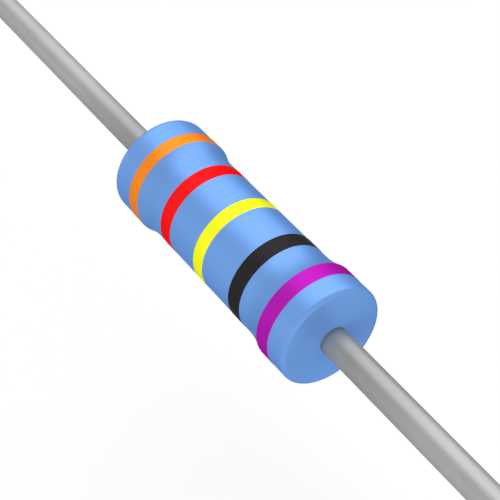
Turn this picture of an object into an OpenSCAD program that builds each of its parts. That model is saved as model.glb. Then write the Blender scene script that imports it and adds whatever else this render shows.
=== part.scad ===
// Axial leaded film resistor with five colour bands.
// A filmed ceramic rod carries two pressed end caps with welded wire leads, all under a dipped
// lacquer coat. The rod's axis is the X axis, with the origin at the middle of the body.

/* [Body] */
// Length of the lacquered body between its two end faces
body_length = 6.2; // [5:0.05:12]
// Diameter of the body over the collars at its ends
body_diameter = 2.3; // [1.8:0.05:5]
// How far the waist between the collars lies below them
waist_drop = 0.1; // [0.03:0.01:0.2]
// Length of the S-shaped shoulder from collar to waist
shoulder_run = 0.55; // [0.2:0.01:0.8]
// Radius of the tight crest where the shoulder leaves the collar
crest_radius = 0.06; // [0.02:0.01:0.15]
// Rounding of the outer edge of each end face
corner_radius = 0.1; // [0.04:0.01:0.3]

/* [Lacquer] */
// Thickness of the lacquer over the side of a cap
coat_over_cap = 0.14; // [0.08:0.01:0.3]
// Thickness of the lacquer over the end of a cap
coat_over_end = 0.15; // [0.12:0.01:0.3]

/* [End caps] */
// Length of a cap over its outside
cap_length = 0.7; // [0.5:0.05:1.5]
// Sheet thickness of the drawn cap
cap_wall = 0.15; // [0.08:0.01:0.25]
// Radius inside the cap where its wall meets its floor
cap_inner_radius = 0.06; // [0.03:0.01:0.12]
// Rounding of the outer edge of the cap's rim
cap_rim_radius = 0.05; // [0.02:0.01:0.08]
// How far the weld bead stands out around the wire
weld_lip = 0.18; // [0.08:0.01:0.25]
// Height of the weld bead on the cap's end
weld_height = 0.09; // [0.05:0.01:0.11]

/* [Core and film] */
// Thickness of the resistive film, drawn thicker than the real layer
film_thickness = 0.03; // [0.01:0.005:0.06]
// Room left between the core's chamfer and the cap's inner radius
core_edge_clearance = 0.02; // [0.01:0.01:0.05]
// Turns of the helical trimming groove in the film
trim_turns = 5; // [2:0.5:8]
// Width of the trimming groove
trim_width = 0.12; // [0.05:0.01:0.2]
// Uncut film between each cap's rim and the groove
trim_margin = 0.35; // [0.15:0.05:0.8]

/* [Leads] */
// Diameter of the tinned wire
lead_diameter = 0.6; // [0.4:0.05:0.9]
// Length of each wire outside the body
lead_length = 28; // [5:0.5:40]
// Chamfer of the cut end of each wire
lead_tip_chamfer = 0.06; // [0.02:0.01:0.12]

/* [Colour bands] */
// Thickness of the printed ink
band_thickness = 0.015; // [0.005:0.005:0.03]
// Distance from the left end face to the middle of band 1
band_1_inset = 0.76; // [0.5:0.01:1]
// Width of band 1
band_1_width = 0.32; // [0.2:0.01:0.45]
// Distance from the middle of the body to the middle of band 2, on the left
band_2_offset = 1.23; // [0.6:0.01:1.5]
// Width of band 2
band_2_width = 0.36; // [0.2:0.01:0.45]
// Width of band 3, which lies in the middle of the body
band_3_width = 0.33; // [0.2:0.01:0.45]
// Distance from the middle of the body to the middle of band 4, on the right
band_4_offset = 1.3; // [0.6:0.01:1.5]
// Width of band 4
band_4_width = 0.39; // [0.2:0.01:0.45]
// Distance from the right end face to the middle of band 5
band_5_inset = 0.69; // [0.5:0.01:1]
// Width of band 5
band_5_width = 0.39; // [0.2:0.01:0.45]

/* [Hidden] */

// Segments of a full circle, and of one turn of the trimming groove
round_segments = 96;
trim_segments = 32;

// Every outline below is drawn as [radius, distance along the axis] and then turned
body_radius = body_diameter / 2;
body_half = body_length / 2;
waist_radius = body_radius - waist_drop;

// The collar stands over the cap, and the shoulder starts at the cap's rim
cap_end = body_half - coat_over_end;
cap_rim = cap_end - cap_length;
cap_radius = body_radius - coat_over_cap;
cap_bore_radius = cap_radius - cap_wall;
cap_outer_radius = cap_inner_radius + cap_wall;

// Two arcs that are tangent to each other make the shoulder: a tight crest and a long foot.
// The sine and cosine are those of its steepest slope, where the two meet
shoulder_radii = (shoulder_run ^ 2 + waist_drop ^ 2) / (2 * waist_drop);
foot_radius = shoulder_radii - crest_radius;
shoulder_foot = cap_rim - shoulder_run;
shoulder_sine = shoulder_run / shoulder_radii;
shoulder_cosine = 1 - waist_drop / shoulder_radii;

// The cap fits the filmed rod, and its floor stops against the rod's end
film_radius = cap_bore_radius;
core_radius = film_radius - film_thickness;
core_half = cap_end - cap_wall;
core_chamfer = cap_inner_radius + core_edge_clearance;
film_half = core_half - core_chamfer;

// The groove runs between the caps, one margin away from each rim, and its cutter reaches
// past the film on both sides
trim_half = cap_rim - trim_margin;
trim_overcut = film_thickness;

lead_radius = lead_diameter / 2;
weld_radius = lead_radius + weld_lip;

// Turns an outline about its axis and lays that axis along X
module turned() {
    rotate([0, 90, 0])
        rotate_extrude($fn = round_segments)
            children();
}

// Makes the piece at the left end from the one at the right end
module at_left_end() {
    mirror([1, 0, 0])
        children();
}

// One collar with its rounded edge and its shoulder; grow offsets every face outwards
module collar_outline(grow = 0) {
    radius = body_radius + grow;
    corner = corner_radius + grow;
    end = body_half + grow;
    crest = crest_radius + grow;
    crest_middle = body_radius - crest_radius;
    fillet = foot_radius - grow;
    fillet_middle = waist_radius + foot_radius;
    // Where the two arcs of the shoulder meet
    meeting_radius = crest_middle + crest * shoulder_cosine;
    meeting = cap_rim - crest * shoulder_sine;

    // Straight side, flat end and the round between them
    translate([0, cap_rim])
        square([radius, end - corner - cap_rim]);
    translate([0, shoulder_foot])
        square([radius - corner, end - shoulder_foot]);
    translate([radius - corner, end - corner])
        circle(r = corner, $fn = round_segments);

    // Crest of the shoulder
    intersection() {
        translate([crest_middle, cap_rim])
            circle(r = crest, $fn = round_segments);
        translate([0, meeting])
            square([radius, shoulder_run]);
    }

    // Foot of the shoulder, carried on a little under the crest
    difference() {
        translate([0, shoulder_foot])
            square([meeting_radius, shoulder_run]);
        translate([fillet_middle, shoulder_foot])
            circle(r = fillet, $fn = round_segments);
    }
}

// The whole dog-bone outline
module body_outline(grow = 0) {
    translate([0, -cap_rim])
        square([waist_radius + grow, 2 * cap_rim]);
    collar_outline(grow);
    mirror([0, 1])
        collar_outline(grow);
}

// A cap without its hollow
module cap_block_outline() {
    translate([0, cap_rim + cap_rim_radius])
        square([cap_radius, cap_length - cap_rim_radius - cap_outer_radius]);
    translate([0, cap_rim])
        square([cap_radius - cap_rim_radius, cap_length - cap_outer_radius]);
    translate([0, cap_rim + cap_rim_radius])
        square([cap_radius - cap_outer_radius, cap_length - cap_rim_radius]);
    translate([cap_radius - cap_rim_radius, cap_rim + cap_rim_radius])
        circle(r = cap_rim_radius, $fn = round_segments);
    translate([cap_radius - cap_outer_radius, cap_end - cap_outer_radius])
        circle(r = cap_outer_radius, $fn = round_segments);
}

// The hollow of a cap, with the drawn radius between wall and floor
module cap_hollow_outline() {
    floor_edge = core_half - cap_inner_radius;
    translate([0, cap_rim])
        square([cap_bore_radius, floor_edge - cap_rim]);
    translate([0, cap_rim])
        square([cap_bore_radius - cap_inner_radius, core_half - cap_rim]);
    translate([cap_bore_radius - cap_inner_radius, floor_edge])
        circle(r = cap_inner_radius, $fn = round_segments);
}

// The round-edged bead of weld metal on a cap's end, which closes around the wire
module weld_outline() {
    bead_round = weld_height / 2;
    translate([lead_radius, cap_end - bead_round])
        square([weld_lip - bead_round, weld_height + bead_round]);
    translate([weld_radius - bead_round, cap_end + bead_round])
        circle(r = bead_round, $fn = round_segments);
}

// A wire from the cap to its free end, with a chamfer where it was cut
module lead_outline() {
    tip = body_half + lead_length;
    polygon([
        [0, cap_end],
        [lead_radius, cap_end],
        [lead_radius, tip - lead_tip_chamfer],
        [lead_radius - lead_tip_chamfer, tip],
        [0, tip]
    ]);
}

// Everything that the lacquer covers at one end
module covered_outline() {
    cap_block_outline();
    weld_outline();
    lead_outline();
}

// Corners of the groove's section at one angle, from inside the film to outside it
function trim_section(angle) =
    let (
        share = angle / (360 * trim_turns),
        middle = (2 * share - 1) * (trim_half - trim_width / 2),
        inner = core_radius - trim_overcut,
        outer = film_radius + trim_overcut
    )
    [
        for (corner = [[inner, -1], [inner, 1], [outer, 1], [outer, -1]])
            [
                corner[0] * cos(angle),
                corner[0] * sin(angle),
                middle + corner[1] * trim_width / 2
            ]
    ];

// The helical groove as a solid: four-cornered sections joined by triangles
module trim_groove() {
    steps = round(trim_turns * trim_segments);
    points = [
        for (step = [0 : steps])
            each trim_section(step * 360 * trim_turns / steps)
    ];
    sides = [
        for (step = [0 : steps - 1], side = [0 : 3])
            let (
                a = 4 * step + side,
                b = 4 * step + (side + 1) % 4
            )
            each [[a, b + 4, b], [a, a + 4, b + 4]]
    ];
    last = 4 * steps;
    ends = [[0, 1, 2], [0, 2, 3], [last + 2, last + 1, last], [last + 3, last + 2, last]];
    polyhedron(points, concat(sides, ends));
}

module lacquer_coat() {
    color([0.42, 0.63, 0.94])
        turned()
            difference() {
                body_outline();
                translate([0, -cap_rim])
                    square([film_radius, 2 * cap_rim]);
                covered_outline();
                mirror([0, 1])
                    covered_outline();
            }
}

module ceramic_core() {
    color("white")
        turned()
            polygon([
                [0, -core_half],
                [core_radius - core_chamfer, -core_half],
                [core_radius, core_chamfer - core_half],
                [core_radius, core_half - core_chamfer],
                [core_radius - core_chamfer, core_half],
                [0, core_half]
            ]);
}

module resistive_film() {
    color([0.45, 0.42, 0.38])
        rotate([0, 90, 0])
            difference() {
                rotate_extrude($fn = round_segments)
                    translate([core_radius, -film_half])
                        square([film_thickness, 2 * film_half]);
                trim_groove();
            }
}

module right_end_cap() {
    color([0.72, 0.72, 0.7])
        turned() {
            difference() {
                cap_block_outline();
                cap_hollow_outline();
            }
            weld_outline();
        }
}

module left_end_cap() {
    at_left_end()
        right_end_cap();
}

module right_lead() {
    color([0.66, 0.66, 0.66])
        turned()
            lead_outline();
}

module left_lead() {
    at_left_end()
        right_lead();
}

// A printed ring that follows the body's outline under it; middle is its place along X
module colour_band(middle, width) {
    turned()
        intersection() {
            difference() {
                body_outline(band_thickness);
                body_outline();
            }
            translate([0, middle - width / 2])
                square([body_radius + 2 * band_thickness, width]);
        }
}

module band_1_orange() {
    color([1, 0.59, 0.12])
        colour_band(band_1_inset - body_half, band_1_width);
}

module band_2_red() {
    color([1, 0.1, 0.1])
        colour_band(-band_2_offset, band_2_width);
}

module band_3_yellow() {
    color([1, 1, 0])
        colour_band(0, band_3_width);
}

module band_4_black() {
    color([0.16, 0.16, 0.16])
        colour_band(band_4_offset, band_4_width);
}

module band_5_violet() {
    color([0.8, 0.12, 0.78])
        colour_band(body_half - band_5_inset, band_5_width);
}

lacquer_coat();
ceramic_core();
resistive_film();
left_end_cap();
right_end_cap();
left_lead();
right_lead();
band_1_orange();
band_2_red();
band_3_yellow();
band_4_black();
band_5_violet();
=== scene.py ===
"""Axial film resistor: a lacquered dog-bone body, five printed bands and a tinned wire at each end.

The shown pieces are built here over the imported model, and the pieces inside the lacquer keep their
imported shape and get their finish. Sizes in the classes are in millimetres. Meshes are in metres, in
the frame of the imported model, whose X axis is the axis of the wires.
"""

from __future__ import annotations

import logging
import math
from abc import ABC, abstractmethod
from collections.abc import Callable, Sequence
from dataclasses import dataclass, field
from enum import Enum, IntEnum

import bpy
from mathutils import Matrix, Vector, noise

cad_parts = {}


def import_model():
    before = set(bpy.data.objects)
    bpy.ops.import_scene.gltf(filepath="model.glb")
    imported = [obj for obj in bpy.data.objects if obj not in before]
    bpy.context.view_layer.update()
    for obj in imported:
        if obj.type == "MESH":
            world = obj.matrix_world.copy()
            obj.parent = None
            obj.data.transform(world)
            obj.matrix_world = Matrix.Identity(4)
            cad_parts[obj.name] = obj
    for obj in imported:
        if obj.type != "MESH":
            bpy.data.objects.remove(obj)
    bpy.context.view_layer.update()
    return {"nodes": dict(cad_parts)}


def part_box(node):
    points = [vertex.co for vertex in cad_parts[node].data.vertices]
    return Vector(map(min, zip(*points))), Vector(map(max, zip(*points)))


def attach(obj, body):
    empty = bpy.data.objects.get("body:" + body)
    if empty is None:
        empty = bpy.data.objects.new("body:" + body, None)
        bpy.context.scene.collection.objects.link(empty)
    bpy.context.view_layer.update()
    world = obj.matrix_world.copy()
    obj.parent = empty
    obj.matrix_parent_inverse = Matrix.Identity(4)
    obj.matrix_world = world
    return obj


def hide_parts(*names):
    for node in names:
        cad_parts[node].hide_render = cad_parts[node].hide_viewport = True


MM = 0.001
# Points of an outline that are nearer to each other than this, in millimetres, are one point
TOUCHING = 1e-6
# A Mix node's colour sockets share their names with others, so they go by their place
MIX_A, MIX_B, MIX_RESULT = 6, 7, 2
WHITE = "#FFFFFF"

Point = tuple[float, float]
Triple = tuple[float, float, float]
Colour = tuple[float, float, float, float]
Tree = bpy.types.NodeTree
Socket = bpy.types.NodeSocket
Patterns = tuple[Socket, Socket, Socket]
Shaper = Callable[[float, float, float], Point]

log = logging.getLogger("resistor")


# -------------------------------- small helpers


def linear(hex_colour: str) -> Colour:
    """Turns an sRGB hex colour into the linear colour that a socket takes.

    Args:
        hex_colour: Six hex digits after a hash sign.

    Returns:
        Red, green, blue and an alpha of one.
    """
    channels = [int(hex_colour[i : i + 2], 16) / 255 for i in (1, 3, 5)]
    return (
        *(c / 12.92 if c <= 0.04045 else ((c + 0.055) / 1.055) ** 2.4 for c in channels),
        1.0,
    )


def per_metre(size_mm: float) -> float:
    """Returns the pattern scale at which one cell of the pattern is size_mm wide."""
    return 1 / (size_mm * MM)


def add_node(
    tree: Tree,
    kind: str,
    values: dict[str | int, object] | None = None,
    links: dict[str | int, Socket] | None = None,
    **settings: object,
) -> bpy.types.Node:
    """Adds one node with its settings, its input values and its links.

    Args:
        tree: The node tree that gets the node.
        kind: The node's type name.
        values: Values of inputs, by name or by place.
        links: Sockets that feed inputs, by name or by place.
        **settings: Properties of the node itself.

    Returns:
        The new node.
    """
    node = tree.nodes.new(kind)
    for name, setting in settings.items():
        setattr(node, name, setting)
    for name, value in (values or {}).items():
        node.inputs[name].default_value = value
    for name, source in (links or {}).items():
        tree.links.new(source, node.inputs[name])
    return node


def along_axis(tree: Tree, place: Socket, rise_mm: Point, fall_mm: Point) -> Socket:
    """Adds nodes for a swell that lies at the same distance along X on both sides of the middle.

    Args:
        tree: The node tree that gets the nodes.
        place: The place in the piece's own coordinates.
        rise_mm: Distances from the middle between which the swell rises from zero to one.
        fall_mm: Distances between which it falls to zero again.

    Returns:
        The socket that gives the swell.
    """
    parts = add_node(tree, "ShaderNodeSeparateXYZ", links={0: place})
    along = add_node(tree, "ShaderNodeMath", links={0: parts.outputs[0]}, operation="ABSOLUTE")
    rise, fall = (
        add_node(
            tree,
            "ShaderNodeMapRange",
            {"From Min": start * MM, "From Max": end * MM},
            {"Value": along.outputs[0]},
            interpolation_type="SMOOTHSTEP",
        )
        for start, end in (rise_mm, fall_mm)
    )
    swell = add_node(
        tree, "ShaderNodeMath", links={0: rise.outputs[0], 1: fall.outputs[0]}, operation="SUBTRACT"
    )
    return swell.outputs[0]


def arc(centre: Point, radius: float, start: float, end: float, steps: int) -> list[Point]:
    """Returns points on an arc of an outline.

    Args:
        centre: Place along the axis and radius of the arc's middle.
        radius: Radius of the arc.
        start: First angle in degrees, where 0 points along the axis and 90 outwards.
        end: Last angle in degrees.
        steps: Number of straight steps.

    Returns:
        Points of (place along the axis, radius), both ends included.
    """
    angles = (math.radians(start + (end - start) * i / steps) for i in range(steps + 1))
    return [(centre[0] + radius * math.cos(a), centre[1] + radius * math.sin(a)) for a in angles]


def line(start: Point, end: Point, steps: int) -> list[Point]:
    """Returns evenly spaced points on a straight stretch of an outline.

    Args:
        start: Point where the stretch starts, which is left out.
        end: Point where it ends.
        steps: Number of straight steps.

    Returns:
        Points of (place along the axis, radius).
    """
    return [
        (start[0] + (end[0] - start[0]) * i / steps, start[1] + (end[1] - start[1]) * i / steps)
        for i in range(1, steps + 1)
    ]


def without_repeats(outline: Sequence[Point]) -> list[Point]:
    """Drops each point of an outline that lies on the one before it.

    Args:
        outline: Points of (place along the axis, radius).

    Returns:
        The points that are left.
    """
    kept = [outline[0]]
    kept += [b for a, b in zip(outline, outline[1:]) if math.dist(a, b) > TOUCHING]
    return kept


def turned(
    name: str,
    outline: Sequence[Point],
    segments: int,
    ring: bool,
    shaper: Shaper | None = None,
    sharp_from: float = 32.0,
) -> bpy.types.Object:
    """Turns an outline about the X axis into a closed mesh.

    Args:
        name: Name of the new object.
        outline: Points of (place along the axis, radius) in millimetres.
        segments: Segments of a full circle.
        ring: True for a closed outline that is clear of the axis, and False for one whose two ends
            lie on the axis.
        shaper: Gives each point its own place and radius from place, radius and angle.
        sharp_from: Edges between faces at a larger angle than this, in degrees, stay sharp.

    Returns:
        The new object, at the origin of the frame.
    """
    outline = without_repeats(outline)
    poles = [] if ring else [outline[0], outline[-1]]
    loops = outline if ring else outline[1:-1]
    vertices: list[Triple] = []
    for place, radius in loops:
        for j in range(segments):
            angle = 2 * math.pi * j / segments
            x, r = shaper(place, radius, angle) if shaper else (place, radius)
            vertices.append((x * MM, r * MM * math.cos(angle), r * MM * math.sin(angle)))
    faces: list[tuple[int, ...]] = []
    for i in range(len(loops) if ring else len(loops) - 1):
        a, b = i * segments, (i + 1) % len(loops) * segments
        for j in range(segments):
            k = (j + 1) % segments
            faces.append((a + j, b + j, b + k, a + k))
    for pole, first, flip in zip(poles, (0, (len(loops) - 1) * segments), (False, True)):
        place = shaper(*pole, 0.0)[0] if shaper else pole[0]
        vertices.append((place * MM, 0.0, 0.0))
        tip = len(vertices) - 1
        for j in range(segments):
            pair = (first + j, first + (j + 1) % segments)
            faces.append((tip, *(reversed(pair) if flip else pair)))
    mesh = bpy.data.meshes.new(name)
    mesh.from_pydata(vertices, [], faces)
    mesh.validate()
    mesh.polygons.foreach_set("use_smooth", [True] * len(mesh.polygons))
    if signed_volume(mesh) < 0:
        mesh.flip_normals()
    mesh.set_sharp_from_angle(angle=math.radians(sharp_from))
    piece = bpy.data.objects.new(name, mesh)
    bpy.context.scene.collection.objects.link(piece)
    return piece


def signed_volume(mesh: bpy.types.Mesh) -> float:
    """Adds up the volume that a closed mesh holds.

    Args:
        mesh: The mesh, in metres.

    Returns:
        The volume in cubic metres, below zero if the faces point inwards.
    """
    total = 0.0
    # Each triangle and the origin are the corners of a tetrahedron
    for polygon in mesh.polygons:
        corners = [mesh.vertices[v].co for v in polygon.vertices]
        for b, c in zip(corners[1:], corners[2:]):
            total += corners[0].dot(b.cross(c)) / 6
    return total


def span(node: str) -> tuple[Vector, Vector]:
    """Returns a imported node's lowest and highest corner in millimetres."""
    low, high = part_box(node)
    return low / MM, high / MM


# -------------------------------- finishes


class Grain(Enum):
    """How the marks of working run on a round piece, as the scale of the pattern on each axis."""

    NO_WAY = (1.0, 1.0, 1.0)
    LENGTHWISE = (0.04, 1.0, 1.0)
    AROUND = (1.0, 0.04, 0.04)
    ROLLED = (1.0, 0.08, 0.08)


class InkShade(Enum):
    """The inks in the order of the bands: colour, and tint of the sheen where it turns away."""

    ORANGE = ("#DF7D27", "#303030")
    RED = ("#E11B1D", "#303030")
    YELLOW = ("#E2E425", "#303030")
    # Carbon black has no sheen of its own, so only its binder shines, evenly from every side
    BLACK = ("#282527", "#B4B4B4")
    VIOLET = ("#9E1C9C", "#303030")

    def __init__(self, colour: str, edge_tint: str) -> None:
        """Takes the two colours, as sRGB hex values."""
        self.colour = colour
        self.edge_tint = edge_tint

    @property
    def word(self) -> str:
        """The colour's plain name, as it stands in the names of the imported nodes."""
        return self.name.lower()


@dataclass(frozen=True)
class Marks:
    """Soft random marks: their width, how much finer detail they hold, and how they run."""

    width_mm: float
    detail: float
    roughness: float
    grain: Grain = Grain.NO_WAY

    def draw(self, tree: Tree, place: Socket) -> Socket:
        """Adds the nodes that draw the marks.

        Args:
            tree: The node tree of the material.
            place: The place in the piece's own coordinates.

        Returns:
            The socket that gives the marks' strength, from zero to one.
        """
        if self.grain is not Grain.NO_WAY:
            place = add_node(
                tree, "ShaderNodeMapping", {"Scale": self.grain.value}, {"Vector": place}
            ).outputs[0]
        return add_node(
            tree,
            "ShaderNodeTexNoise",
            {"Scale": per_metre(self.width_mm), "Detail": self.detail, "Roughness": self.roughness},
            {"Vector": place},
        ).outputs[0]


@dataclass(frozen=True, kw_only=True)
class Finish(ABC):
    """A finish made from nodes: an uneven colour, an uneven gloss and a fine relief."""

    name: str
    roughness: float
    # How far the roughness strays to either side, from place to place
    roughness_spread: float = 0.0
    relief_mm: float
    relief_strength: float = 1.0
    metallic: float = 0.0
    # The shader's own default, which a metal keeps
    ior: float = 1.5
    specular_level: float = 0.5
    edge_tint: str = WHITE

    @abstractmethod
    def colours(self) -> tuple[Colour, Colour]:
        """Returns the two linear colours between which the surface varies."""

    @abstractmethod
    def patterns(self, tree: Tree, place: Socket) -> Patterns:
        """Adds the patterns, each from zero to one.

        Args:
            tree: The node tree of the material.
            place: The place in the piece's own coordinates.

        Returns:
            The sockets that drive the colour, the roughness and the relief.
        """

    def tone(self, tree: Tree, place: Socket, tint: Socket) -> Socket:
        """Returns the colour as it is, for a finish that looks the same all over the piece."""
        return tint

    def build(self) -> bpy.types.Material:
        """Makes the material, with what is the same all over on the shader's own sockets.

        Returns:
            The material.
        """
        material = bpy.data.materials.new(self.name)
        material.use_nodes = True
        tree = material.node_tree
        shader = tree.nodes["Principled BSDF"]
        shader.inputs["Metallic"].default_value = self.metallic
        shader.inputs["IOR"].default_value = self.ior
        shader.inputs["Specular IOR Level"].default_value = self.specular_level
        shader.inputs["Specular Tint"].default_value = linear(self.edge_tint)
        place = add_node(tree, "ShaderNodeTexCoord").outputs["Object"]
        shading, dulling, height = self.patterns(tree, place)
        dark, pale = self.colours()
        tint = add_node(
            tree, "ShaderNodeMix", {MIX_A: dark, MIX_B: pale}, {"Factor": shading}, data_type="RGBA"
        )
        bump = add_node(
            tree,
            "ShaderNodeBump",
            {"Strength": self.relief_strength, "Distance": self.relief_mm * MM},
            {"Height": height},
        )
        colour = self.tone(tree, place, tint.outputs[MIX_RESULT])
        tree.links.new(colour, shader.inputs["Base Color"])
        tree.links.new(bump.outputs[0], shader.inputs["Normal"])
        least, most = self.roughness - self.roughness_spread, self.roughness + self.roughness_spread
        if least < most:
            gloss = add_node(
                tree, "ShaderNodeMapRange", {"To Min": least, "To Max": most}, {"Value": dulling}
            )
            tree.links.new(gloss.outputs[0], shader.inputs["Roughness"])
        else:
            shader.inputs["Roughness"].default_value = self.roughness
        return material


@dataclass(frozen=True, kw_only=True)
class EpoxyResin(Finish):
    """Epoxy resin, pigmented and baked to a satin skin, as the lacquer and the inks both are."""

    # A fine pearl in the resin ties the sheen to its colour, so the lit side stays saturated
    metallic: float = 0.45
    roughness: float = 0.42
    # The satin skin has no clear gloss over the pearl
    specular_level: float = 0.0
    # The skin's edges keep their colour where it turns away
    edge_tint: str = "#303030"


@dataclass(frozen=True, kw_only=True)
class EpoxyLacquer(EpoxyResin):
    """Epoxy resin lacquer, dipped and baked: a satin light blue skin, a little uneven in depth."""

    name: str = "epoxy_lacquer_dipped_satin"
    thin_colour: str = "#6089C5"
    thick_colour: str = "#6A93CD"
    # Painted shade: the colour is darker on each shoulder's foot and slope, where shade falls in the
    # crease
    shoulder_shade_colour: str = "#638AC2"
    shoulder_shade_from_mm: Point = (1.6, 1.95)
    shoulder_shade_to_mm: Point = (2.15, 2.35)
    roughness_spread: float = 0.03
    ior: float = 1.55
    # The dip runs and levels in soft clouds about 1.6 mm across
    clouds: Marks = Marks(1.6, detail=2.0, roughness=0.5)
    # Orange peel of a baked dip coat is about 0.15 mm, drawn at 0.22 mm so that it shows
    peel: Marks = Marks(0.22, detail=1.0, roughness=0.4)
    relief_mm: float = 0.0006

    def colours(self) -> tuple[Colour, Colour]:
        """Returns the linear colours of the lacquer where it is thin and thick."""
        return linear(self.thin_colour), linear(self.thick_colour)

    def tone(self, tree: Tree, place: Socket, tint: Socket) -> Socket:
        """Paints shade into the colour on each shoulder's foot and slope.

        Args:
            tree: The node tree of the material.
            place: The place in the coat's own coordinates.
            tint: The lacquer's colour before this.

        Returns:
            The socket that gives the toned colour.
        """
        # Painted shade on the shoulders: a darker blue mixed in along X
        shoulder_shade = along_axis(tree, place, self.shoulder_shade_from_mm, self.shoulder_shade_to_mm)
        return add_node(
            tree,
            "ShaderNodeMix",
            {MIX_B: linear(self.shoulder_shade_colour)},
            {"Factor": shoulder_shade, MIX_A: tint},
            data_type="RGBA",
        ).outputs[MIX_RESULT]

    def patterns(self, tree: Tree, place: Socket) -> Patterns:
        """Returns the clouds for colour and roughness, and the orange peel for the relief."""
        clouds = self.clouds.draw(tree, place)
        return clouds, clouds, self.peel.draw(tree, place)


@dataclass(frozen=True, kw_only=True)
class RollerInk(EpoxyResin):
    """Epoxy marking ink, rolled on: dense, satin, with faint streaks where the wheel dragged it."""

    colour: str
    roughness_spread: float = 0.04
    # Ink drags in streaks about 0.05 mm wide, drawn at 0.09 mm so that they show
    streaks: Marks = Marks(0.09, detail=2.0, roughness=0.6, grain=Grain.ROLLED)
    relief_mm: float = 0.0004
    relief_strength: float = 0.5
    # Share by which a streak is paler or darker than the ink
    streak_depth: float = 0.05

    @classmethod
    def of(cls, shade: InkShade) -> RollerInk:
        """Returns the ink of one shade, before its material is made."""
        name = f"epoxy_ink_{shade.word}_rolled"
        return cls(name=name, colour=shade.colour, edge_tint=shade.edge_tint)

    def colours(self) -> tuple[Colour, Colour]:
        """Gives the linear colours of a dark streak and of a pale one.

        Returns:
            The darker colour and the paler one.
        """
        dark, pale = (
            (*(min(1.0, channel * (1 + depth)) for channel in linear(self.colour)[:3]), 1.0)
            for depth in (-self.streak_depth, self.streak_depth)
        )
        return dark, pale

    def patterns(self, tree: Tree, place: Socket) -> Patterns:
        """Returns the streaks for colour, roughness and relief."""
        streaks = self.streaks.draw(tree, place)
        return streaks, streaks, streaks


@dataclass(frozen=True, kw_only=True)
class WorkedMetal(Finish):
    """A metal with marks of its working: fine lines one way, and soft clouds of duller surface."""

    dark_colour: str
    bright_colour: str
    metallic: float = 1.0
    roughness_spread: float = 0.06
    relief_mm: float = 0.0006
    grain: Grain
    # Width of a line and of a cloud
    line_mm: float
    cloud_mm: float
    # Sums of a line's and a cloud's strength at which the metal is darkest and brightest
    darkest_at: float = 0.6
    brightest_at: float = 1.4

    def colours(self) -> tuple[Colour, Colour]:
        """Returns the linear colours of the metal where it is dark and bright."""
        return linear(self.dark_colour), linear(self.bright_colour)

    def patterns(self, tree: Tree, place: Socket) -> Patterns:
        """Adds lines and clouds, which shade the metal together.

        Args:
            tree: The node tree of the material.
            place: The place in the piece's own coordinates.

        Returns:
            The sockets that drive the colour, the roughness and the relief.
        """
        lines = Marks(self.line_mm, detail=3.0, roughness=0.6, grain=self.grain).draw(tree, place)
        clouds = Marks(self.cloud_mm, detail=3.0, roughness=0.55).draw(tree, place)
        both = add_node(tree, "ShaderNodeMath", links={0: lines, 1: clouds}, operation="ADD")
        shading = add_node(
            tree,
            "ShaderNodeMapRange",
            {"From Min": self.darkest_at, "From Max": self.brightest_at},
            {"Value": both.outputs[0]},
        )
        return shading.outputs[0], clouds, lines


@dataclass(frozen=True, kw_only=True)
class TinnedWire(WorkedMetal):
    """Copper wire, drawn and tinned: a soft grey sheen with faint lengthwise die lines."""

    name: str = "tinned_copper_wire_drawn"
    dark_colour: str = "#939393"
    bright_colour: str = "#9C9C9C"
    roughness: float = 0.44
    # The oxide skin of old tin scatters half of the light, and stays grey where it turns away
    metallic: float = 0.5
    edge_tint: str = "#505050"
    grain: Grain = Grain.LENGTHWISE
    # Die lines are about 0.02 mm apart, drawn at 0.06 mm so that they show
    line_mm: float = 0.06
    cloud_mm: float = 0.7
    # Painted shade: the tin is dimmed for some millimetres next to the body, which shades it
    near_body_shade: float = 0.82
    near_body_shade_from_mm: Point = (3.15, 3.9)
    near_body_shade_to_mm: Point = (3.9, 7.0)
    # Painted light: the foot of the wire is brightened, against the body's shade on it
    foot: float = 1.15
    foot_light_from_mm: Point = (0.0, 1.0)
    foot_light_to_mm: Point = (3.4, 4.0)
    # Painted shadow: a dark line on the wire beside the edge of the lacquer, where the two meet
    contact_shadow: float = 0.7
    contact_shadow_from_mm: Point = (3.0, 3.1)
    contact_shadow_to_mm: Point = (3.17, 3.29)

    def tone(self, tree: Tree, place: Socket, tint: Socket) -> Socket:
        """Paints shade on the tin next to the body, light on its foot and a shadow at the lacquer.

        Args:
            tree: The node tree of the material.
            place: The place in the wire's own coordinates.
            tint: The tin's colour before this.

        Returns:
            The socket that gives the toned colour.
        """
        # Painted shade next to the body, painted light on the foot, painted shadow at the lacquer
        for share, rise, fall in (
            (self.near_body_shade, self.near_body_shade_from_mm, self.near_body_shade_to_mm),
            (self.foot, self.foot_light_from_mm, self.foot_light_to_mm),
            (self.contact_shadow, self.contact_shadow_from_mm, self.contact_shadow_to_mm),
        ):
            tint = add_node(
                tree,
                "ShaderNodeMix",
                {MIX_B: (share, share, share, 1.0)},
                {"Factor": along_axis(tree, place, rise, fall), MIX_A: tint},
                data_type="RGBA",
                blend_type="MULTIPLY",
            ).outputs[MIX_RESULT]
        return tint


@dataclass(frozen=True, kw_only=True)
class ShearedCopper(WorkedMetal):
    """Bare copper, sheared: orange-brown with drag marks across the cut."""

    name: str = "copper_sheared"
    dark_colour: str = "#A8664A"
    bright_colour: str = "#D08E6C"
    roughness: float = 0.38
    grain: Grain = Grain.AROUND
    # The shears drag the copper in marks about 0.03 mm wide
    line_mm: float = 0.03
    cloud_mm: float = 0.2


@dataclass(frozen=True, kw_only=True)
class TinPlatedSteel(WorkedMetal):
    """Steel sheet, tin plated and deep drawn to a cap: bright grey with lines along the draw."""

    name: str = "tin_plated_steel_drawn"
    dark_colour: str = "#A9AAA6"
    bright_colour: str = "#C6C7C3"
    roughness: float = 0.3
    grain: Grain = Grain.LENGTHWISE
    # Draw lines are about 0.02 mm apart, drawn at 0.05 mm so that they show
    line_mm: float = 0.05
    cloud_mm: float = 0.5


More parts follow.
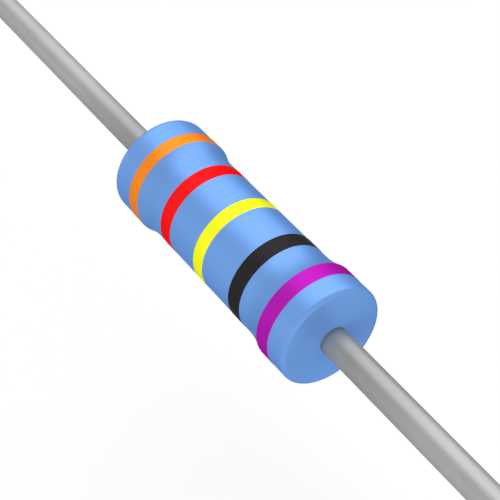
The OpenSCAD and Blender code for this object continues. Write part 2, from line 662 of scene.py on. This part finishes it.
@dataclass(frozen=True, kw_only=True)
class SputteredFilm(WorkedMetal):
    """Nickel-chromium film, sputtered: a dark, even grey that follows the ground ceramic."""

    name: str = "nickel_chromium_film_sputtered"
    dark_colour: str = "#6A6660"
    bright_colour: str = "#7C776F"
    roughness: float = 0.45
    grain: Grain = Grain.AROUND
    # The grinder's scratches in the ceramic are about 0.02 mm wide, drawn at 0.05 mm to show
    line_mm: float = 0.05
    cloud_mm: float = 0.4


@dataclass(frozen=True, kw_only=True)
class FiredAlumina(Finish):
    """Alumina ceramic, pressed, fired and ground: chalky white with a fine grey-cream grain."""

    name: str = "alumina_ceramic_fired_ground"
    pit_colour: str = "#D9D3C6"
    ground_colour: str = "#EFEBE2"
    roughness: float = 0.75
    ior: float = 1.77
    # Grinding leaves pits about 0.02 mm across, drawn at 0.06 mm so that they show
    pits: Marks = Marks(0.06, detail=3.0, roughness=0.7)
    relief_mm: float = 0.003

    def colours(self) -> tuple[Colour, Colour]:
        """Returns the linear colours of a pit and of the ground surface."""
        return linear(self.pit_colour), linear(self.ground_colour)

    def patterns(self, tree: Tree, place: Socket) -> Patterns:
        """Returns the pits for colour and relief. The roughness is the same all over."""
        pits = self.pits.draw(tree, place)
        return pits, pits, pits


# -------------------------------- sub-assemblies


class Side(IntEnum):
    """The two ends of the part, as their sign along the axis."""

    LEFT = -1
    RIGHT = 1


@dataclass(frozen=True)
class Shoulder:
    """The fall from a collar to the waist: a short crest and a long hollow foot, in millimetres."""

    rim: float
    run: float
    drop: float
    crest_radius: float
    collar_radius: float

    @property
    def foot(self) -> float:
        """Where the shoulder runs out into the waist."""
        return self.rim - self.run

    @property
    def waist_radius(self) -> float:
        """Radius of the waist that the shoulder falls to."""
        return self.collar_radius - self.drop

    @property
    def foot_radius(self) -> float:
        """Radius of the long hollow arc of the shoulder."""
        return (self.run**2 + self.drop**2) / (2 * self.drop) - self.crest_radius

    @property
    def slope(self) -> float:
        """Steepest slope of the shoulder in degrees."""
        return math.degrees(math.asin(self.run / (self.foot_radius + self.crest_radius)))

    def radius_at(self, x: float) -> float:
        """Returns the lacquer's radius at a place along the axis, the end corner left out.

        Args:
            x: Distance from the middle of the body.

        Returns:
            The distance of the skin from the axis.
        """
        if x <= self.foot:
            return self.waist_radius
        if x >= self.rim:
            return self.collar_radius
        meeting = self.rim - self.crest_radius * math.sin(math.radians(self.slope))
        if x < meeting:
            side = math.sqrt(self.foot_radius**2 - (x - self.foot) ** 2)
            return self.waist_radius + self.foot_radius - side
        side = math.sqrt(self.crest_radius**2 - (self.rim - x) ** 2)
        return self.collar_radius - self.crest_radius + side

    def outline(self) -> list[Point]:
        """Draws the hollow foot and the crest.

        Returns:
            Points of the outline from the foot to the rim.
        """
        hollow = (self.foot, self.waist_radius + self.foot_radius)
        crest = (self.rim, self.collar_radius - self.crest_radius)
        points = arc(hollow, self.foot_radius, start=-90, end=-90 + self.slope, steps=16)
        points += arc(crest, self.crest_radius, start=90 + self.slope, end=90, steps=6)
        return points


@dataclass
class Body:
    """The dog-bone lacquer coat over the capped core. Sizes are in millimetres."""

    half_length: float
    radius: float
    wire_radius: float
    film_radius: float
    cap_rim: float
    cap_end: float
    cap_radius: float
    bead_top: float
    waist_drop: float = 0.1
    shoulder_run: float = 0.55
    crest_radius: float = 0.06
    # The dip ran on over the left cap's rim, so the crest there lies nearer the middle
    left_overrun: float = 0.055
    corner_radius: float = 0.1
    # Weld bead and roundings of the cap, as packed
    bead_lip: float = 0.18
    cap_corner: float = 0.21
    cap_rim_radius: float = 0.05
    # The dip creeps up the wire in a wide, shallow hollow
    creep_height: float = 0.05
    creep_width: float = 0.35
    # A dipped skin levels to within a few thousandths of a millimetre, in waves of about 0.8 mm,
    # and levels better still on the end faces
    unevenness: float = 0.003
    waves_per_mm: float = 1.3
    face_unevenness: float = 0.5
    # Points deeper under the waist than the first and farther from the end faces than the second
    # are on the coat's inside, which fits its neighbours as it is
    inner_depth: float = 0.01
    inner_distance: float = 0.02
    # Points within this of the plane of an end face, or beyond it, settle along the axis
    face_margin: float = 0.001
    segments: int = 256

    @classmethod
    def from_frame(cls) -> Body:
        """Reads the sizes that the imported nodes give.

        Returns:
            The body, before it is built.
        """
        coat_high = span("lacquer_coat")[1]
        cap_low, cap_high = span("right_end_cap")
        lead_low, lead_high = span("right_lead")
        return cls(
            half_length=coat_high.x,
            radius=coat_high.z,
            wire_radius=lead_high.z,
            film_radius=span("resistive_film")[1].z,
            cap_rim=cap_low.x,
            cap_end=lead_low.x,
            cap_radius=cap_high.z,
            bead_top=cap_high.x,
        )

    def shoulder(self, side: Side) -> Shoulder:
        """Gives the shoulder on one side.

        Args:
            side: The side of the body.

        Returns:
            The shoulder, whose places count from the middle of the body.
        """
        overrun = self.left_overrun if side is Side.LEFT else 0.0
        return Shoulder(
            rim=self.cap_rim - overrun,
            run=self.shoulder_run - overrun,
            drop=self.waist_drop,
            crest_radius=self.crest_radius,
            collar_radius=self.radius,
        )

    def radius_at(self, x: float) -> float:
        """Returns the lacquer's radius at a place along the axis, the end corners left out."""
        return self.shoulder(Side.LEFT if x < 0 else Side.RIGHT).radius_at(abs(x))

    def outer_half(self, side: Side) -> list[Point]:
        """Draws the outside of one half, from the middle to the wire.

        Args:
            side: The side of the body.

        Returns:
            Points of the outline, with places that count from the middle of the body.
        """
        shoulder = self.shoulder(side)
        corner, end = self.corner_radius, self.half_length
        height, width = self.creep_height, self.creep_width
        hollow = (height**2 + width**2) / (2 * height)
        foot = self.wire_radius + width
        rise = math.degrees(math.asin(width / hollow))
        points: list[Point] = [(0.0, shoulder.waist_radius)]
        points += line(points[0], (shoulder.foot, shoulder.waist_radius), steps=16)
        points += shoulder.outline()
        points += line((shoulder.rim, self.radius), (end - corner, self.radius), steps=8)
        points += arc((end - corner, self.radius - corner), corner, start=90, end=0, steps=10)
        points += line((end, self.radius - corner), (end, foot), steps=4)
        points += arc((end + hollow, foot), hollow, start=180, end=180 + rise, steps=8)
        return points

    def inner_half(self) -> list[Point]:
        """Draws the inside of either half, which lies on the weld, the cap and the film.

        Returns:
            Points of the outline from the wire to the middle of the body.
        """
        bead_round = (self.bead_top - self.cap_end) / 2
        bead = (self.cap_end + bead_round, self.wire_radius + self.bead_lip - bead_round)
        corner = (self.cap_end - self.cap_corner, self.cap_radius - self.cap_corner)
        rim = (self.cap_rim + self.cap_rim_radius, self.cap_radius - self.cap_rim_radius)
        points: list[Point] = [(self.bead_top, self.wire_radius)]
        points += arc(bead, bead_round, start=0, end=180, steps=10)
        points += arc(corner, self.cap_corner, start=0, end=90, steps=8)
        points += arc(rim, self.cap_rim_radius, start=90, end=180, steps=5)
        points += [(self.cap_rim, self.film_radius), (0.0, self.film_radius)]
        return points

    def settle(self, place: float, radius: float, angle: float) -> Point:
        """Gives the outer skin the slight unevenness of a dip, always inwards.

        Args:
            place: Place of a point along the axis.
            radius: Its distance from the axis.
            angle: Its angle round the axis.

        Returns:
            The point's own place and radius.
        """
        inner_radius = self.radius - self.waist_drop - self.inner_depth
        if radius < inner_radius and abs(place) < self.half_length - self.inner_distance:
            return place, radius
        where = Vector((place, radius * math.cos(angle), radius * math.sin(angle)))
        depth = self.unevenness * (1 + noise.noise(where * self.waves_per_mm)) / 2
        if abs(place) > self.half_length - self.face_margin:
            return place - math.copysign(depth * self.face_unevenness, place), radius
        return place, radius - depth

    def build(self, finish: bpy.types.Material) -> bpy.types.Object:
        """Makes the coat.

        Args:
            finish: The lacquer.

        Returns:
            The coat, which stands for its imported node.
        """
        right = self.outer_half(Side.RIGHT) + self.inner_half()
        left = [(-x, r) for x, r in reversed(self.outer_half(Side.LEFT) + self.inner_half())]
        outline = without_repeats(right + left)
        if math.dist(outline[0], outline[-1]) < TOUCHING:
            outline.pop()
        coat = turned("lacquer_skin", outline, self.segments, ring=True, shaper=self.settle)
        coat.data.materials.append(finish)
        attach(coat, "root")
        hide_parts("lacquer_coat")
        return coat


@dataclass
class Band:
    """One printed ring of ink. Sizes are in millimetres."""

    number: int
    shade: InkShade
    body: Body
    # The ink itself is a few thousandths of a millimetre thick, so it adds nothing to the outline
    ink_height: float = 0.004
    # The ink thins out towards its edge over this width, in steps of these shares of it
    feather: float = 0.03
    feather_steps: tuple[float, ...] = (0.0, 0.12, 0.3, 0.55, 0.8, 1.0)
    # The wheel's edge wanders by a few thousandths of a millimetre, a few times in a turn
    wander: float = 0.004
    wander_scale: float = 2.2
    # The two edges and the rings take their wander from places this far apart in the noise
    edge_step: float = 7.7
    ring_step: float = 3.1
    # The ring reaches this far into the lacquer, so no gap shows under it
    bedding: float = 0.006
    # On a collar, the ink laps only this far over the shoulder's crest
    crest_lap: float = 0.012
    segments: int = 256
    low: float = field(init=False)
    high: float = field(init=False)

    def __post_init__(self) -> None:
        """Reads the ring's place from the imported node, and keeps it off the shoulder."""
        low, high = span(self.node)
        self.low, self.high = low.x, high.x
        left_rim, right_rim = (self.body.shoulder(side).rim for side in (Side.LEFT, Side.RIGHT))
        if self.high > right_rim:
            self.low = max(self.low, right_rim - self.crest_lap)
        if self.low < -left_rim:
            self.high = min(self.high, self.crest_lap - left_rim)

    @property
    def node(self) -> str:
        """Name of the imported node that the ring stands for."""
        return f"band_{self.number}_{self.shade.word}"

    @property
    def slot(self) -> str:
        """Name of the record's material slot for the ink."""
        return f"ink_{self.shade.word}"

    def outline(self) -> list[Point]:
        """Draws the ring's section.

        Returns:
            Points of (place along the axis, height over the lacquer).
        """
        width, feather, height = self.high - self.low, self.feather, self.ink_height
        rise = [(feather * s, height * math.sin(s * math.pi / 2)) for s in self.feather_steps]
        top = line((feather, height), (width - feather, height), steps=20)
        fall = [(width - x, h) for x, h in reversed(rise)]
        under = line((width, -self.bedding), (0.0, -self.bedding), steps=10)
        points = rise + top + fall + [(width, -self.bedding)] + under
        return [(self.low + x, h) for x, h in points]

    def lay(self, place: float, height: float, angle: float) -> Point:
        """Lays a point of the section on the lacquer and lets both edges wander.

        Args:
            place: Place of the point along the axis.
            height: Its height over the lacquer.
            angle: Its angle round the axis.

        Returns:
            The point's own place and radius.
        """
        share = (place - self.low) / (self.high - self.low)
        scale, seed = self.wander_scale, self.ring_step * self.number
        turn = Vector((math.cos(angle) * scale, math.sin(angle) * scale, seed))
        left = self.wander * noise.noise(turn)
        right = self.wander * noise.noise(turn + Vector((0, 0, self.edge_step)))
        x = place + left * (1 - share) - right * share
        return x, self.body.radius_at(x) + height

    def build(self, finish: bpy.types.Material) -> bpy.types.Object:
        """Makes the ring.

        Args:
            finish: The ink.

        Returns:
            The ring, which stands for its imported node.
        """
        name, outline = f"{self.node}_ink", self.outline()
        ring = turned(name, outline, self.segments, ring=True, shaper=self.lay, sharp_from=60.0)
        ring.data.materials.append(finish)
        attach(ring, "root")
        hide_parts(self.node)
        return ring


@dataclass
class Lead:
    """One straight tinned wire with a sheared end. Sizes are in millimetres."""

    node: str
    side: Side
    chamfer: float = 0.06
    # Shears leave a shallow ridge across the cut: the room for it, the share of this that it fills
    # in the middle, and the share that it loses from there to the wire's skin
    cut_crown: float = 0.02
    ridge_top: float = 0.95
    ridge_fall: float = 0.9
    cut_rings: int = 6
    # The tin drags over the edge of the cut, and covers this share of the chamfer
    tin_drag: float = 0.55
    segments: int = 128
    inner_end: float = field(init=False)
    tip: float = field(init=False)
    radius: float = field(init=False)

    def __post_init__(self) -> None:
        """Reads the wire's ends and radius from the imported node."""
        low, high = span(self.node)
        self.inner_end = min(abs(low.x), abs(high.x))
        self.tip = max(abs(low.x), abs(high.x))
        self.radius = high.z

    def outline(self) -> list[Point]:
        """Draws the wire from the middle of its inner end to the middle of its tip.

        Returns:
            Points of (place along the axis, radius).
        """
        face, cut = self.radius - self.chamfer, self.tip - self.cut_crown
        shank_end = self.tip - self.chamfer
        points: list[Point] = [(self.inner_end, 0.0), (self.inner_end, self.radius)]
        points += line(points[-1], (shank_end, self.radius), steps=56)
        points += arc((shank_end, face), self.chamfer, start=90, end=20, steps=6)
        points += [(cut, face * (1 - i / self.cut_rings)) for i in range(self.cut_rings)]
        points += [(cut, 0.0)]
        return [(self.side * x, r) for x, r in points]

    def shear(self, place: float, radius: float, angle: float) -> Point:
        """Raises the ridge that the shears leave across the cut end.

        Args:
            place: Place of a point along the axis.
            radius: Its distance from the axis.
            angle: Its angle round the axis.

        Returns:
            The point's own place and radius.
        """
        x, face = abs(place), self.radius - self.chamfer
        if x < self.tip - self.cut_crown - TOUCHING or radius > face + TOUCHING:
            return place, radius
        away = abs(radius * math.sin(angle)) / self.radius
        ridge = self.cut_crown * (self.ridge_top - self.ridge_fall * away)
        return self.side * (x + ridge), radius

    def build(self, plating: bpy.types.Material, copper: bpy.types.Material) -> bpy.types.Object:
        """Makes the wire.

        Args:
            plating: The tin on its side.
            copper: The bare metal that the cut shows.

        Returns:
            The wire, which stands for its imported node.
        """
        name, outline = f"{self.node}_wire", self.outline()
        wire = turned(name, outline, self.segments, ring=False, shaper=self.shear, sharp_from=40.0)
        wire.data.materials.append(plating)
        wire.data.materials.append(copper)
        bare = (self.tip - self.chamfer * (1 - self.tin_drag)) * MM
        for polygon in wire.data.polygons:
            if abs(polygon.center.x) > bare:
                polygon.material_index = 1
        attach(wire, "root")
        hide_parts(self.node)
        return wire


@dataclass
class CappedCore:
    """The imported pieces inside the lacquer, which keep their shape and get their finish."""

    core: bpy.types.Material
    film: bpy.types.Material
    cap: bpy.types.Material

    def dress(self, nodes: dict[str, bpy.types.Object]) -> list[bpy.types.Object]:
        """Gives each piece its finish.

        Args:
            nodes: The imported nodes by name.

        Returns:
            The dressed nodes.
        """
        finishes = {
            "ceramic_core": self.core,
            "resistive_film": self.film,
            "left_end_cap": self.cap,
            "right_end_cap": self.cap,
        }
        for name, finish in finishes.items():
            node = nodes[name]
            if not node.material_slots:
                node.data.materials.append(finish)
            for slot in node.material_slots:
                slot.material = finish
        return [nodes[name] for name in finishes]


# -------------------------------- studio


@dataclass(frozen=True)
class SoftBox:
    """A flat studio lamp that faces the body. Sizes are in millimetres."""

    name: str
    # Direction from the body to the lamp, and the direction in which its length runs
    towards: Triple
    along: Triple
    distance: float
    length: float
    width: float
    radiance: float
    # A fill that is kept out of reflections leaves no bright line on a rounded corner
    in_reflections: bool = True

    def build(self) -> bpy.types.Object:
        """Makes the lamp.

        Returns:
            The lamp, turned so that it shines at the body.
        """
        lamp = bpy.data.lights.new(self.name, "AREA")
        lamp.shape = "RECTANGLE"
        lamp.size = self.width * MM
        lamp.size_y = self.length * MM
        lamp.energy = self.radiance * math.pi * lamp.size * lamp.size_y
        out = Vector(self.towards).normalized()
        long_side = Vector(self.along)
        long_side = (long_side - out * long_side.dot(out)).normalized()
        short_side = long_side.cross(out)
        holder = bpy.data.objects.new(self.name, lamp)
        holder.matrix_world = Matrix.Translation(out * self.distance * MM) @ Matrix(
            (short_side, long_side, out)
        ).transposed().to_4x4()
        holder.visible_glossy = self.in_reflections
        bpy.context.scene.collection.objects.link(holder)
        return holder


@dataclass(frozen=True)
class Studio:
    """White floor, white surround and soft lamps. Sizes are in millimetres."""

    floor_height: float = -6.0
    floor_size: float = 1600.0
    # Share of the floor's look that takes real light, and so shows the shadow
    shadow_share: float = 0.35
    # Colour of the card, as it lights the part
    card_colour: str = "#F6F6F6"
    # Under these lamps this grey shows as white, so the shadow isn't lost above white
    shown_colour: str = "#F1F1F1"
    # The floor fades to plain white between these distances from the part
    fade_mm: Point = (40.0, 110.0)
    surround: float = 0.23
    lamp_distance: float = 120.0
    # Low fills: name, azimuth in degrees and radiance
    fills: tuple[tuple[str, float, float], ...] = (
        ("side_fill", 330.0, 2.45),
        ("back_fill", 240.0, 3.75),
        ("end_fill", 0.0, 3.05),
    )
    fill_elevation: float = 10.0

    def seen_directly(self, tree: Tree) -> Socket:
        """Adds nodes that tell what is seen, also in a reflection, from what only gives light.

        Args:
            tree: The node tree that gets the nodes.

        Returns:
            A socket that is one for camera, glossy and transmission rays.
        """
        path = add_node(tree, "ShaderNodeLightPath")
        seen = path.outputs["Is Camera Ray"]
        for ray in ("Is Glossy Ray", "Is Transmission Ray"):
            seen = add_node(
                tree,
                "ShaderNodeMath",
                links={0: seen, 1: path.outputs[ray]},
                operation="ADD",
                use_clamp=True,
            ).outputs[0]
        return seen

    def build_surround(self) -> None:
        """Makes a world that shows as white and lights the object softly."""
        world = bpy.data.worlds.new("white_surround")
        bpy.context.scene.world = world
        world.use_nodes = True
        tree = world.node_tree
        tree.nodes.clear()
        light, shown = (
            add_node(tree, "ShaderNodeBackground", {"Color": linear(WHITE), "Strength": strength})
            for strength in (self.surround, 1.0)
        )
        mix = add_node(
            tree,
            "ShaderNodeMixShader",
            links={0: self.seen_directly(tree), 1: light.outputs[0], 2: shown.outputs[0]},
        )
        add_node(tree, "ShaderNodeOutputWorld", links={"Surface": mix.outputs[0]})

    def build_floor(self) -> bpy.types.Object:
        """Makes a white floor under the part that keeps a soft shadow.

        Returns:
            The floor.
        """
        half = self.floor_size / 2 * MM
        height = self.floor_height * MM
        mesh = bpy.data.meshes.new("floor")
        corners = [(-half, -half, height), (half, -half, height), (half, half, height)]
        mesh.from_pydata(corners + [(-half, half, height)], [], [(0, 1, 2, 3)])
        material = bpy.data.materials.new("white_card_floor")
        material.use_nodes = True
        tree = material.node_tree
        tree.nodes.clear()
        lit = add_node(tree, "ShaderNodeBsdfDiffuse", {"Color": linear(self.card_colour)})
        shaded = add_node(tree, "ShaderNodeBsdfDiffuse", {"Color": linear(self.shown_colour)})
        glow = add_node(tree, "ShaderNodeEmission", {"Strength": 1.0})
        place = add_node(tree, "ShaderNodeTexCoord")
        away = add_node(
            tree, "ShaderNodeVectorMath", links={0: place.outputs["Object"]}, operation="LENGTH"
        )
        near, far = (distance * MM for distance in self.fade_mm)
        share = add_node(
            tree,
            "ShaderNodeMapRange",
            {"From Min": near, "From Max": far, "To Min": self.shadow_share, "To Max": 0.0},
            {"Value": away.outputs["Value"]},
            interpolation_type="SMOOTHSTEP",
        )
        shown = add_node(
            tree,
            "ShaderNodeMixShader",
            links={0: share.outputs[0], 1: glow.outputs[0], 2: shaded.outputs[0]},
        )
        mix = add_node(
            tree,
            "ShaderNodeMixShader",
            links={0: self.seen_directly(tree), 1: lit.outputs[0], 2: shown.outputs[0]},
        )
        add_node(tree, "ShaderNodeOutputMaterial", links={"Surface": mix.outputs[0]})
        mesh.materials.append(material)
        floor = bpy.data.objects.new("floor", mesh)
        bpy.context.scene.collection.objects.link(floor)
        return floor

    def build_lamps(self) -> None:
        """Makes one large soft lamp over the part and three low fills round it."""
        SoftBox(
            "top_softbox",
            towards=(-0.45, 0.42, 0.8),
            along=(0.0, -0.91, 0.41),
            distance=self.lamp_distance,
            length=180.0,
            width=140.0,
            radiance=2.42,
        ).build()
        rise = math.radians(self.fill_elevation)
        for name, azimuth, radiance in self.fills:
            turn = math.radians(azimuth)
            level = (math.cos(turn) * math.cos(rise), math.sin(turn) * math.cos(rise))
            SoftBox(
                name,
                towards=(*level, math.sin(rise)),
                along=(0.0, 0.0, 1.0),
                distance=self.lamp_distance,
                length=50.0,
                width=200.0,
                radiance=radiance,
                in_reflections=False,
            ).build()

    def build(self) -> None:
        """Makes the surround, the floor and the lamps."""
        self.build_surround()
        self.build_floor()
        self.build_lamps()


@dataclass(frozen=True)
class Viewpoint:
    """Where the camera stands. Angles are in degrees and sizes in millimetres."""

    azimuth: float = 56.0
    elevation: float = 43.2
    distance: float = 29.7
    target: Triple = (0.325, 0.0, 0.141)
    lens: float = 106.5
    sensor_width: float = 36.0
    # What is nearer or farther than these isn't drawn
    nearest: float = 1.0
    farthest: float = 10000.0

    def build(self) -> bpy.types.Object:
        """Makes the camera.

        Returns:
            The camera, which the scene now uses.
        """
        data = bpy.data.cameras.new("camera")
        data.lens = self.lens
        data.sensor_width = self.sensor_width
        data.clip_start, data.clip_end = self.nearest * MM, self.farthest * MM
        camera = bpy.data.objects.new("camera", data)
        a, e = math.radians(self.azimuth), math.radians(self.elevation)
        back = Vector((math.sin(a) * math.cos(e), -math.cos(a) * math.cos(e), math.sin(e)))
        camera.location = (Vector(self.target) + back * self.distance) * MM
        camera.rotation_mode = "QUATERNION"
        camera.rotation_quaternion = (-back).to_track_quat("-Z", "Y")
        bpy.context.scene.collection.objects.link(camera)
        bpy.context.scene.camera = camera
        return camera


def main() -> None:
    """Builds the part, the studio and the camera."""
    logging.basicConfig(level=logging.INFO, format="%(name)s: %(message)s")
    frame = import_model()

    body = Body.from_frame()
    pieces = [body.build(EpoxyLacquer().build())]
    for number, shade in enumerate(InkShade, start=1):
        pieces.append(Band(number, shade, body).build(RollerInk.of(shade).build()))
    tin, copper = TinnedWire().build(), ShearedCopper().build()
    pieces.append(Lead("left_lead", Side.LEFT).build(tin, copper))
    pieces.append(Lead("right_lead", Side.RIGHT).build(tin, copper))
    core = CappedCore(
        core=FiredAlumina().build(), film=SputteredFilm().build(), cap=TinPlatedSteel().build()
    )
    pieces += core.dress(frame["nodes"])
    for piece in pieces:
        log.info("%s: %d faces", piece.name, len(piece.data.polygons))

    Studio().build()
    Viewpoint().build()
    bpy.context.scene.view_settings.view_transform = "Standard"


if __name__ == "__main__":
    main()
